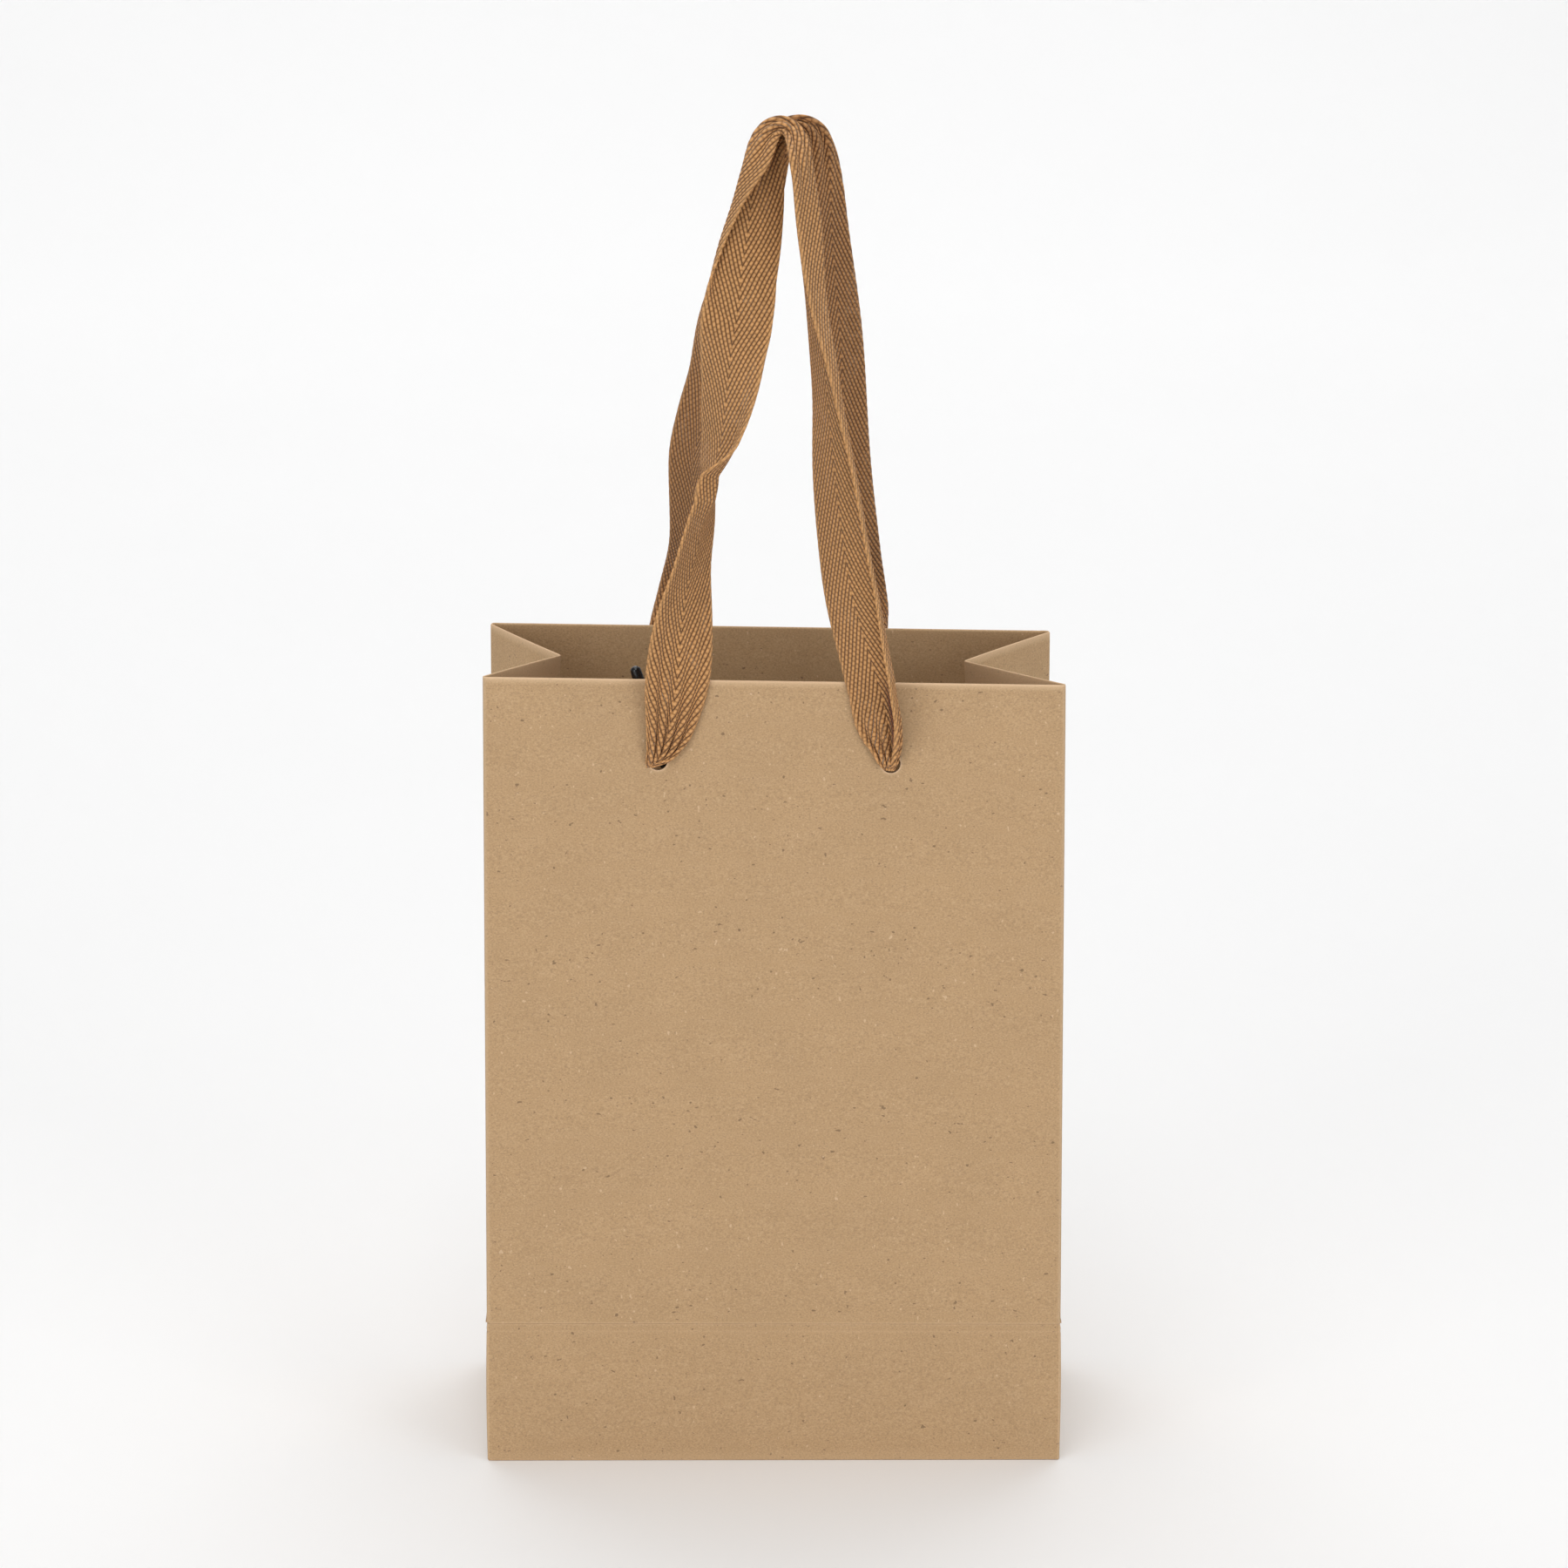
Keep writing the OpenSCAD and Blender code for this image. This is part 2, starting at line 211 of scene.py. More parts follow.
class Nodes:
    """Short calls for building a node material."""

    def __init__(self, name):
        self.material = bpy.data.materials.new(name)
        self.material.use_nodes = True
        self.tree = self.material.node_tree
        self.shader = self.tree.nodes["Principled BSDF"]

    def put(self, socket, value):
        if isinstance(value, bpy.types.NodeSocket):
            self.tree.links.new(value, socket)
        else:
            socket.default_value = value

    def node(self, kind, out=0, settings=(), **inputs):
        n = self.tree.nodes.new(kind)
        for key, value in settings:
            setattr(n, key, value)
        for key, value in inputs.items():
            numbered = key[0] == "i" and key[1:].isdigit()
            self.put(n.inputs[int(key[1:]) if numbered else key.replace("_", " ")], value)
        return n.outputs[out]

    def math(self, operation, a, b=0.0, c=0.0):
        return self.node("ShaderNodeMath", settings=[("operation", operation)], i0=a, i1=b, i2=c)

    def noise(self, vector, scale, detail=3.0, rough=0.6):
        return self.node("ShaderNodeTexNoise", Vector=vector, Scale=scale, Detail=detail, Roughness=rough)

    def stretch(self, vector, amounts):
        return self.node("ShaderNodeMapping", Vector=vector, Scale=amounts)

    def steps(self, value, low, high, to_low=0.0, to_high=1.0):
        settings = [("interpolation_type", "SMOOTHSTEP")]
        return self.node(
            "ShaderNodeMapRange", settings=settings, i0=value, i1=low, i2=high, i3=to_low, i4=to_high
        )

    def mix(self, factor, a, b, blend="MIX"):
        n = self.tree.nodes.new("ShaderNodeMix")
        n.data_type, n.blend_type = "RGBA", blend
        self.put(n.inputs[0], factor)
        self.put(n.inputs[6], a)
        self.put(n.inputs[7], b)
        return n.outputs[2]

    def finish(self, colour, rough, height, distance, strength=1.0):
        self.put(self.shader.inputs["Base Color"], colour)
        self.put(self.shader.inputs["Roughness"], rough)
        bump = self.node("ShaderNodeBump", Height=height, Distance=distance, Strength=strength)
        self.put(self.shader.inputs["Normal"], bump)
        return self.material


def paper_material(name, base, pale, dark, fleck_share=0.6):
    """Paper with fine grain, faint patches, a few dark flecks, pale fibres and pale wear on its creases,
    which also carries painted highlights on turned edges and creases and painted light on the gusset fronts.
    """
    m = Nodes(name)
    place = m.node("ShaderNodeTexCoord", 3)
    wear_and_painted_light = m.node("ShaderNodeAttribute", 2, settings=[("attribute_name", "wear_and_painted_light")])
    mottle = m.noise(place, 55, 4)
    streaks = m.noise(m.stretch(place, (160, 160, 420)), 1, 3)
    grain = m.noise(m.stretch(place, (1900, 1900, 2600)), 1, 2, 0.7)
    darker, lighter = (*[c * 0.972 for c in base], 1), (*[c * 1.022 for c in base], 1)
    colour = m.mix(m.steps(mottle, 0.3, 0.7), darker, lighter)
    colour = m.mix(m.steps(streaks, 0.42, 0.68, 0.0, 0.07), colour, (*pale, 1))
    colour = m.mix(m.steps(grain, 0.5, 0.72, 0.0, 0.42), colour, (*pale, 1))
    colour = m.mix(m.steps(grain, 0.5, 0.3, 0.0, 0.75), colour, (*[c * 0.72 for c in base], 1))
    flecks = m.noise(m.stretch(place, (640, 640, 900)), 1, 1, 0.4)
    colour = m.mix(m.math("MULTIPLY", m.steps(flecks, 0.735, 0.77), fleck_share), colour, (*dark, 1))
    strands = m.noise(m.stretch(place, (900, 420, 700)), 1, 1, 0.4)
    colour = m.mix(m.steps(strands, 0.75, 0.78, 0.0, 0.7), colour, (*pale, 1))
    # pale mark from the vertex attribute: rubbed wear, with painted highlights on turned edges and creases
    # and painted light on the gusset fronts' inner sides
    colour = m.mix(m.math("MULTIPLY", wear_and_painted_light, 0.8), colour, (*[min(1, c * 1.2) for c in pale], 1))
    rough = m.steps(grain, 0.2, 0.8, 0.72, 0.92)
    height = m.math("ADD", m.math("MULTIPLY", grain, 1.0), m.math("MULTIPLY", mottle, 0.6))
    return m.finish(colour, rough, height, 0.00005, 0.5)


def tape_material(name, light, mid, deep, painted_see_through_light):
    """Herringbone tape: steep ridges of short floats, mirrored about the middle, with open spots painted pale
    as light showing through.
    """
    m = Nodes(name)
    uv = m.node("ShaderNodeUVMap", settings=[("uv_map", "Across_Along")])
    split = m.tree.nodes.new("ShaderNodeSeparateXYZ")
    m.put(split.inputs[0], uv)
    across = m.math("MULTIPLY", split.outputs[0], 100.0)
    along = m.math("MULTIPLY", split.outputs[1], 100.0)
    aside = m.math("ABSOLUTE", m.math("SUBTRACT", across, TAPE_W / MM / 2))
    ridge = m.math("SUBTRACT", m.math("MULTIPLY", aside, RIDGE_C), m.math("MULTIPLY", along, RIDGE_S))
    ridge = m.math("DIVIDE", ridge, RIDGE_PITCH)
    down = m.math("ADD", m.math("MULTIPLY", aside, RIDGE_S), m.math("MULTIPLY", along, RIDGE_C))
    number = m.math("FLOOR", ridge)
    floats = m.math("ADD", m.math("DIVIDE", down, FLOAT_LENGTH), m.math("MULTIPLY", number, 0.37))
    centred = m.math("SUBTRACT", m.math("MULTIPLY", m.math("FRACT", ridge), 2.0), 1.0)
    crown = m.math("SUBTRACT", 1.0, m.math("MULTIPLY", centred, centred))
    swell = m.math("SINE", m.math("MULTIPLY", m.math("FRACT", floats), math.pi))
    bulge = m.math("ADD", 0.5, m.math("MULTIPLY", m.math("POWER", swell, 0.75), 0.5))
    height = m.math("MULTIPLY", m.math("POWER", crown, 0.65), bulge)
    cell = m.node("ShaderNodeCombineXYZ", X=number, Y=m.math("FLOOR", floats))
    yarn = m.node("ShaderNodeTexWhiteNoise", 0, Vector=cell)
    fuzz = m.noise(m.stretch(uv, (900, 320, 1)), 1, 3, 0.65)
    # painted shade in the gaps between yarns and painted highlight on their crowns: the colour goes from deep
    # to light with the weave's height
    colour = m.mix(m.steps(height, 0.08, 0.62), (*deep, 1), (*mid, 1))
    colour = m.mix(m.steps(height, 0.55, 1.0), colour, (*light, 1))
    colour = m.mix(m.steps(aside, 8.1, 8.8, 0.0, 0.6), colour, (*light, 1))
    tint = m.math("ADD", 0.82, m.math("ADD", m.math("MULTIPLY", yarn, 0.16), m.math("MULTIPLY", fuzz, 0.34)))
    colour = m.mix(1.0, colour, m.node("ShaderNodeCombineColor", i0=tint, i1=tint, i2=tint), "MULTIPLY")
    patches = m.noise(m.stretch(uv, (9, 3.4, 1)), 1, 2, 0.5)
    # painted shade: the tape is darkened where its vertex attribute is set, on the inner sides and along the
    # front tape's slit
    painted_shade = m.node("ShaderNodeAttribute", 2, settings=[("attribute_name", "painted_shade")])
    colour = m.mix(painted_shade, colour, m.mix(1.0, colour, (0.34, 0.2, 0.12, 1), "MULTIPLY"))
    # painted light: open spots in the weave are coloured pale, as light showing through
    open_weave = m.math("MULTIPLY", m.math("LESS_THAN", height, 0.2), m.math("GREATER_THAN", yarn, 0.5))
    inside = m.math("LESS_THAN", m.math("ABSOLUTE", m.math("SUBTRACT", aside, 4.2)), 3.2)
    share = m.math("MULTIPLY", m.steps(patches, 0.5, 0.64, 0.0, 0.85), inside)
    colour = m.mix(m.math("MULTIPLY", open_weave, share), colour, (*painted_see_through_light, 1))
    rough = m.steps(height, 0.0, 1.0, 0.92, 0.66)
    relief = m.math("ADD", height, m.math("MULTIPLY", fuzz, 0.2))
    m.shader.inputs["Sheen Weight"].default_value = 0.1
    m.shader.inputs["Sheen Roughness"].default_value = 0.5
    return m.finish(colour, rough, relief, 0.0005, 1.0)


def plastic_material(name):
    m = Nodes(name)
    place = m.node("ShaderNodeTexCoord", 3)
    cloud = m.noise(place, 260, 3)
    grain = m.noise(place, 2600, 2)
    colour = m.mix(cloud, (0.006, 0.006, 0.007, 1), (0.016, 0.016, 0.019, 1))
    return m.finish(colour, m.steps(cloud, 0.3, 0.7, 0.16, 0.34), grain, 0.00003, 0.3)


def floor_material():
    m = Nodes("pale_floor")
    place = m.node("ShaderNodeTexCoord", 3)
    cloud = m.noise(place, 3, 2)
    return m.finish(m.mix(cloud, (0.93, 0.93, 0.93, 1), (0.95, 0.95, 0.95, 1)), 0.9, cloud, 0.0002, 0.1)


TAPE_W = 18.5 * MM
TAPE_T = 0.9 * MM
# the weave, in mm: from ridge to ridge, and the length of a float along one
RIDGE_PITCH = 1.05
FLOAT_LENGTH = 1.3
RIDGE_SLOPE = math.radians(21)
RIDGE_S, RIDGE_C = math.sin(RIDGE_SLOPE), math.cos(RIDGE_SLOPE)

KRAFT = paper_material("kraft_paper", (0.5, 0.322, 0.166), (0.68, 0.48, 0.3), (0.13, 0.075, 0.04))
CARD = paper_material("grey_card", (0.34, 0.28, 0.2), (0.5, 0.44, 0.35), (0.1, 0.08, 0.06), 0.8)
TAPE = tape_material(
    "woven_cotton_tape",
    light=(0.66, 0.345, 0.128),
    mid=(0.41, 0.19, 0.06),
    deep=(0.085, 0.033, 0.01),
    painted_see_through_light=(0.85, 0.78, 0.68),
)
BLACK = plastic_material("black_plastic")

# ---------------------------------------------------------------- camera, lights and floor

CAMERA = {
    "target": (3.2 * MM, 0, 174.5 * MM),
    "distance": 1.5,
    "elevation": 13.7,
    "azimuth": -1.11,
    "roll": 0.30,
    "lens": 130.34,
    "sensor": 36,
}


def add_camera():
    az, el = math.radians(CAMERA["azimuth"]), math.radians(CAMERA["elevation"])
    back = Vector((math.sin(az) * math.cos(el), -math.cos(az) * math.cos(el), math.sin(el)))
    data = bpy.data.cameras.new("camera")
    data.sensor_width = CAMERA["sensor"]
    data.lens = CAMERA["lens"]
    data.clip_start, data.clip_end = 0.05, 50
    obj = bpy.data.objects.new("camera", data)
    obj.location = Vector(CAMERA["target"]) + CAMERA["distance"] * back
    look = (-back).to_track_quat("-Z", "Y").to_matrix().to_4x4()
    roll = Matrix.Rotation(math.radians(CAMERA["roll"]), 4, "Z")
    obj.rotation_euler = (look @ roll).to_euler()
    bpy.context.scene.collection.objects.link(obj)
    bpy.context.scene.camera = obj


def add_softbox(name, at, aim, size, watts):
    data = bpy.data.lights.new(name, "AREA")
    data.shape, data.size, data.size_y = "RECTANGLE", size[0], size[1]
    data.energy = watts
    obj = bpy.data.objects.new(name, data)
    obj.location = at
    obj.rotation_euler = (Vector(aim) - Vector(at)).to_track_quat("-Z", "Y").to_euler()
    bpy.context.scene.collection.objects.link(obj)


def add_stage():
    """A pale floor that sweeps up into a backdrop behind the bag."""
    x = np.linspace(-4, 4, 9)
    turn = np.linspace(0, math.pi / 2, 24)
    y = np.concatenate([np.linspace(-4, 1.9, 12), 2 + 1.0 * np.sin(turn), [3.0, 3.0]])
    z = np.concatenate([np.zeros(12), 1.0 - 1.0 * np.cos(turn), [2.5, 5.0]])
    points = np.stack(np.broadcast_arrays(x[None, :], y[:, None], z[:, None]), -1)
    floor = make_object("floor", points.reshape(-1, 3), grid_faces(len(y), len(x)), floor_material())


add_camera()
add_stage()
add_softbox("key", (-1.15, -1.75, 0.62), (0, 0, 0.18), (1.1, 1.1), 10)
add_softbox("fill", (1.25, -1.65, 0.55), (0, 0, 0.18), (1.1, 1.1), 8.6)
add_softbox("high_front", (-0.15, -1.5, 2.0), (0, 0, 0.2), (0.9, 0.9), 9)
add_softbox("top", (0, 0.1, 2.2), (0, 0.1, 0), (2.2, 2.2), 26)
add_softbox("far_floor", (0, 2.6, 2.4), (0, 2.7, 0), (4, 2), 50)
world = bpy.data.worlds.new("studio")
world.use_nodes = True
world.node_tree.nodes["Background"].inputs[0].default_value = (1, 1, 1, 1)
world.node_tree.nodes["Background"].inputs[1].default_value = 0.2
bpy.context.scene.world = world
bpy.context.scene.view_settings.view_transform = "Standard"

# ---------------------------------------------------------------- paper


def bow(u, v):
    """How far a panel's sheet swells outwards between its creases, with the slack of hand-folded paper."""
    arch = np.cos(math.pi / 2 * np.clip(u / HALF_W, -1, 1)) * np.sin(math.pi * np.clip(v / PANEL_H, 0, 1))
    ripple = np.sin(u * 61 + v * 23 + 0.7) * np.sin(v * 47 - u * 19 + 1.9)
    return MM * arch * (0.45 + 0.12 * ripple)


def punch(a, s, centres):
    """Moves grid points near each hole so that a block of cells becomes a round opening.

    Returns the points, and which cells are kept.
    """
    a, s = a.copy(), s.copy()
    opened = np.zeros((a.shape[0] - 1, a.shape[1] - 1), bool)
    for ca, cs in centres:
        mid_a = (a[:-1, :-1] + a[1:, 1:]) / 2 - ca
        mid_s = (s[:-1, :-1] + s[1:, 1:]) / 2 - cs
        opened |= np.maximum(abs(mid_a), abs(mid_s)) < HOLE_R
        da, ds = a - ca, s - cs
        square = np.maximum(abs(da), abs(ds))
        near = (square < PUNCH_REACH) & (square > 1e-7)
        length = np.hypot(da, ds)
        blend = smooth(square, HOLE_R, PUNCH_REACH)
        scale = np.where(near, square / np.maximum(length, 1e-9), 1)
        scale = scale + (1 - scale) * blend
        a = np.where(near, ca + da * scale, a)
        s = np.where(near, cs + ds * scale, s)
    return a, s, ~opened


def panel_piece(name, back):
    """A panel with its turned top edge, wrapped round both corners to the gussets' fold lines."""
    fold_r = EDGE_T / 2
    start = PANEL_H - fold_r
    hem_start = start + math.pi * fold_r
    hem_hole = hem_start + start - HOLE_V
    end = hem_start + start - (PANEL_H - HEM_H)
    s = lines(
        (0.1 * MM, 0.3 * MM),
        (3 * MM, 2 * MM),
        (HOLE_V - PUNCH_REACH, PUNCH_STEP),
        (HOLE_V + PUNCH_REACH, 1.2 * MM),
        (start, fold_r * math.pi / 9),
        (hem_start, 1.2 * MM),
        (hem_hole - PUNCH_REACH, PUNCH_STEP),
        (hem_hole + PUNCH_REACH, 1 * MM),
        (end, 1),
    )
    lip = HINGE_IN - 0.05 * MM
    corner = 1.25 * MM
    turn = corner * math.pi / 2
    flat = HALF_W - corner
    half = lines(
        (0, 1.6 * MM),
        (HOLE_X - PUNCH_REACH, PUNCH_STEP),
        (HOLE_X + PUNCH_REACH, 1.6 * MM),
        (flat - 3 * MM, 0.6 * MM),
        (flat, turn / 6),
        (flat + turn, 0.2 * MM),
        (flat + turn + lip - corner, 1),
    )
    a = np.concatenate([-half[:0:-1], half])
    a, s = np.meshgrid(a, s)
    holes = [(x, y) for x in (-HOLE_X, HOLE_X) for y in (HOLE_V, hem_hole)]
    a, s, keep = punch(a, s, holes)
    reach, sign = abs(a), np.sign(a)
    angle = np.clip((reach - flat) / corner, 0, math.pi / 2)
    u = np.minimum(reach, flat) + corner * np.sin(angle)
    w = corner * (1 - np.cos(angle)) + np.clip(reach - flat - turn, 0, None)
    in_u, in_w = -np.sin(angle) * sign, np.cos(angle)
    v, offset = turned_edge(s, PANEL_H, fold_r)
    thin = smooth(reach, flat - 2 * MM, flat + turn)
    offset = offset * (1 - 0.42 * thin)
    swell = bow(u * sign, v)

    def surface(depth):
        inward = np.where(s > start, np.cos(np.clip((s - start) / fold_r, 0, math.pi)), 1.0) * depth
        along = np.where(s > start, -np.sin(np.clip((s - start) / fold_r, 0, math.pi)), 0.0) * depth
        total = offset + inward
        return settle(on_panel(u * sign + in_u * total, v + along, w + in_w * total - swell, back))

    round_hole = np.min([np.hypot(a - x, s - y) for x, y in holes], axis=0)
    # pale line along the turned top edge: rubbed wear and painted highlight
    wear_and_painted_light = np.exp(-((s - start - 0.8 * fold_r) / (0.55 * MM)) ** 2) * 0.9
    wear_and_painted_light = np.maximum(wear_and_painted_light, 0.5 * np.exp(-((reach - flat - turn / 2) / (0.5 * MM)) ** 2))
    wear_and_painted_light = np.maximum(wear_and_painted_light, 0.3 * np.exp(-((s - 0.1 * MM) / (0.35 * MM)) ** 2))
    wear_and_painted_light = np.maximum(wear_and_painted_light, smooth(round_hole, HOLE_R + 0.7 * MM, HOLE_R))
    piece = shell(name, surface(0), surface(PAPER), KRAFT, keep, wear_and_painted_light=wear_and_painted_light, flip=back)
    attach(piece, "back_side" if back else "front_side")
    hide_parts(*(("back_panel", "back_hem") if back else ("front_panel", "front_hem")))


def gusset_depth(v, scale):
    """How far the gusset's middle is folded in at height v."""
    v = np.clip(v, 0, None)
    return scale * np.sqrt(np.maximum(HALF_D**2 - (HALF_D - v * LEAN_S) ** 2, 0))


def gusset_piece(side, end, scale):
    """Half a gusset, from its fold line to the middle, with its turned top edge."""
    back, sign = end == "back", -1 if side == "left" else 1
    radius = PAPER
    start = PANEL_H - radius
    hem_end = start + math.pi * radius + start - (PANEL_H - HEM_H)
    s = lines(
        (-0.8 * MM, 0.2 * MM),
        (2 * MM, 1 * MM),
        (GORE_H + 6 * MM, 2 * MM),
        (start, radius * math.pi / 8),
        (start + math.pi * radius, 2 * MM),
        (hem_end, 1),
    )
    p = lines((0, 0.012), (0.03, 0.024), (0.97, 0.012), (1, 1))
    p, s = np.meshgrid(p, s)

    def sheet(p, v):
        hinge_y = -HALF_D + v * LEAN_S + HINGE_IN * LEAN_C
        y = hinge_y + p * (-0.04 * MM - hinge_y)
        away = p * (0 - hinge_y)
        low = gusset_depth(GORE_H, scale) / GORE_H
        soft = 0.6 * MM
        lesser = (away + v - np.sqrt((away - v) ** 2 + soft**2)) / 2
        gore = low * np.clip(lesser, 0, None)
        upper = p * gusset_depth(v, scale)
        inset = np.where(v < GORE_H, gore, upper)
        inset = inset + (upper - inset) * smooth(v, GORE_H - 2 * MM, GORE_H)
        inset = inset + 0.45 * MM * (1 - smooth(v, 0, 1.2 * MM))
        wave = 0.35 * MM * np.sin(math.pi * p) * np.sin(v * 33 + sign * 1.3 + back * 0.9)
        wave = wave * smooth(v, GORE_H, PANEL_H / 2)
        # each half turns about a line that leans with the panel, so its inner edge comes out lower
        drop = (HINGE_IN + away / LEAN_C * smooth(v, 0, GORE_H)) * LEAN_S
        z = CREASE + v * LEAN_C - drop
        return np.stack([sign * (HALF_W - inset - wave), -y if back else y, z], -1)

    v, offset = turned_edge(s, PANEL_H, radius)
    base = sheet(p, v)
    step = 1e-5
    d_p = sheet(np.minimum(p + 1e-3, 1), v) - sheet(np.maximum(p - 1e-3, 0), v)
    d_v = sheet(p, v + step) - sheet(p, v - step)
    normal = np.cross(d_p, d_v)
    normal /= np.linalg.norm(normal, axis=-1, keepdims=True)
    normal *= -np.sign(normal[..., :1]) * sign
    turn = np.clip((s - start) / radius, 0, math.pi)
    climb = on_panel(0, 1.0, 0, back) - on_panel(0, 0.0, 0, back)

    def surface(depth):
        total = (offset + np.cos(turn) * depth)[..., None]
        return settle(base + normal * total - climb * (np.sin(turn) * depth)[..., None])

    away = p * (HALF_D - v * LEAN_S)
    # pale line along the turned top edge: rubbed wear and painted highlight
    wear_and_painted_light = 0.8 * np.exp(-((s - start - 0.8 * radius) / (0.5 * MM)) ** 2)
    wear_and_painted_light = np.maximum(wear_and_painted_light, 0.55 * np.exp(-(((away - v) / (0.7 * MM)) ** 2)) * (v < GORE_H) * (s < start))
    wear_and_painted_light = np.maximum(wear_and_painted_light, 0.45 * np.exp(-(((1 - p) * HALF_D / (0.6 * MM)) ** 2)))
    # painted light: the front halves are lightened on their inner side, near the top
    painted_inner_light = 0.0 if back else 0.55 * smooth(v, PANEL_H - 60 * MM, PANEL_H - 20 * MM)
    wear_and_painted_light = (np.maximum(wear_and_painted_light, painted_inner_light * (turn > 1)), np.maximum(wear_and_painted_light, painted_inner_light * (turn < 1)))
    name = f"{side}_{end}_gusset_paper"
    piece = shell(name, surface(0), surface(PAPER), KRAFT, wear_and_painted_light=wear_and_painted_light, flip=back == (sign < 0))
    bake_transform(piece)
    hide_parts(f"{side}_{end}_gusset", f"{side}_{end}_gusset_hem")


def gore_piece(side, scale):
    """The gusset's lower triangle, which stays with the base, up to the point where the folds meet."""
    sign = -1 if side == "left" else 1
    reach = HALF_D - HINGE_IN
    low = gusset_depth(GORE_H, scale) / GORE_H
    across, share = np.meshgrid(np.linspace(-1, 1, 81), np.linspace(0, 1, 31))
    top = (1 - np.abs(across)) * (GORE_H - 0.6 * MM)
    v = share * top
    y = across * reach * (1 - LEAN_S * share * 0.9)
    inset = low * v
    z = CREASE + v * LEAN_C - 0.3 * MM * (1 - share)

    def surface(depth):
        return settle(np.stack([sign * (HALF_W - inset + 0.32 * MM - depth), y, z], -1))

    edge = np.minimum(top - v, v + 0.2 * MM)
    wear_and_painted_light = 0.55 * np.exp(-((edge / (0.8 * MM)) ** 2))
    wear_and_painted_light = np.maximum(wear_and_painted_light, 0.4 * np.exp(-((across * HALF_D / (0.6 * MM)) ** 2)))
    piece = shell(f"{side}_gore_paper", surface(0), surface(PAPER), KRAFT, wear_and_painted_light=wear_and_painted_light, flip=sign < 0)
    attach(piece, "base")
    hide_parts(f"{side}_gusset_gore")


def base_piece():
    """The four bands below the crease as one folded tube, rounded where it turns under."""
    corner = 0.6 * MM
    xs, ys = HALF_W - corner, HALF_D - corner
    arc = np.linspace(0, math.pi / 2, 7)[:-1]
    outline = []
    for cx, cy, a0 in ((xs, -ys, -math.pi / 2), (xs, ys, 0), (-xs, ys, math.pi / 2), (-xs, -ys, math.pi)):
        outline += [(cx, cy, a0 + t) for t in arc] + [(cx, cy, a0 + math.pi / 2)]
    ring = []
    for (cx, cy, t), (nx, ny, _) in zip(outline, outline[1:] + outline[:1]):
        out_x, out_y = math.cos(t), math.sin(t)
        ring.append((cx + corner * out_x, cy + corner * out_y, out_x, out_y))
        parts = int(math.hypot(nx - cx, ny - cy) / (4 * MM))
        for k in range(1, parts):
            x, y = cx + (nx - cx) * k / parts, cy + (ny - cy) * k / parts
            ring.append((x + corner * out_x, y + corner * out_y, out_x, out_y))
    ring.append(ring[0])
    ring = np.array(ring)
    z = lines((0, 0.1 * MM), (0.5 * MM, 3 * MM), (CREASE - 4 * MM, 0.25 * MM), (CREASE, 1))
    foot = 0.45 * MM
    tuck = foot * (1 - np.sqrt(np.clip(1 - (1 - np.clip(z / foot, 0, 1)) ** 2, 0, 1)))
    press = 0.16 * MM * np.exp(-((z - CREASE) / (0.7 * MM)) ** 2)
    press = press + 0.07 * MM * np.exp(-((z - CREASE + 2 * MM) / (0.45 * MM)) ** 2)
    z2, _ = np.meshgrid(z, ring[:, 0], indexing="ij")
    swell = 0.25 * MM * np.sin(math.pi * z / CREASE)

    def surface(depth):
        out = (swell - tuck - press - depth)[:, None]
        return settle(np.stack([ring[:, 0] + ring[:, 2] * out, ring[:, 1] + ring[:, 3] * out, z2], -1))

    # pale lines at the crease and 2 mm below it: rubbed paper and painted highlight on the crease's flanks
    wear_and_painted_light = 0.3 * np.exp(-((z2 - CREASE) / (0.35 * MM)) ** 2)
    wear_and_painted_light = wear_and_painted_light + 0.12 * np.exp(-((z2 - CREASE + 2 * MM) / (0.3 * MM)) ** 2)
    at_corner = (abs(ring[:, 2] * ring[:, 3]) > 1e-6)[None, :]
    wear_and_painted_light = np.maximum(np.maximum(wear_and_painted_light, 0.4 * at_corner), 0.45 * np.exp(-(z2 / (0.5 * MM)) ** 2))
    piece = shell("base_paper", surface(0), surface(PAPER), KRAFT, wear_and_painted_light=wear_and_painted_light, flip=False)
    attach(piece, "base")
    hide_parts("front_lower_band", "back_lower_band", "left_lower_band", "right_lower_band")


def stiffener_piece(node, back):
    """The card strip inside the turned edge, punched with the panel."""
    low, high = node_box(node)
    bottom = (low[2] - CREASE) / LEAN_C
    top = PANEL_H - EDGE_T / 2
    v = lines(
        (bottom, 1.2 * MM),
        (HOLE_V - PUNCH_REACH, PUNCH_STEP),
        (HOLE_V + PUNCH_REACH, 1.2 * MM),
        (top, 1),
    )
    half = lines(
        (0, 2 * MM),
        (HOLE_X - PUNCH_REACH, PUNCH_STEP),
        (HOLE_X + PUNCH_REACH, 2 * MM),
        (high[0], 1),
    )
    u, v = np.meshgrid(np.concatenate([-half[:0:-1], half]), v)
    u, v, keep = punch(u, v, [(x, HOLE_V) for x in (-HOLE_X, HOLE_X)])
    corner = np.clip(np.abs(u) - (high[0] - 2 * MM), 0, None) ** 2 / (4 * MM)
    v = np.where(v > HOLE_V, v - corner, v + corner)
    surface = lambda w: settle(on_panel(u, v, w - bow(u, v), back))
    piece = shell(node + "_card", surface(0.34 * MM), surface(EDGE_T - 0.34 * MM), CARD, keep, flip=back)
    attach(piece, "back_side" if back else "front_side")
    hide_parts(node)


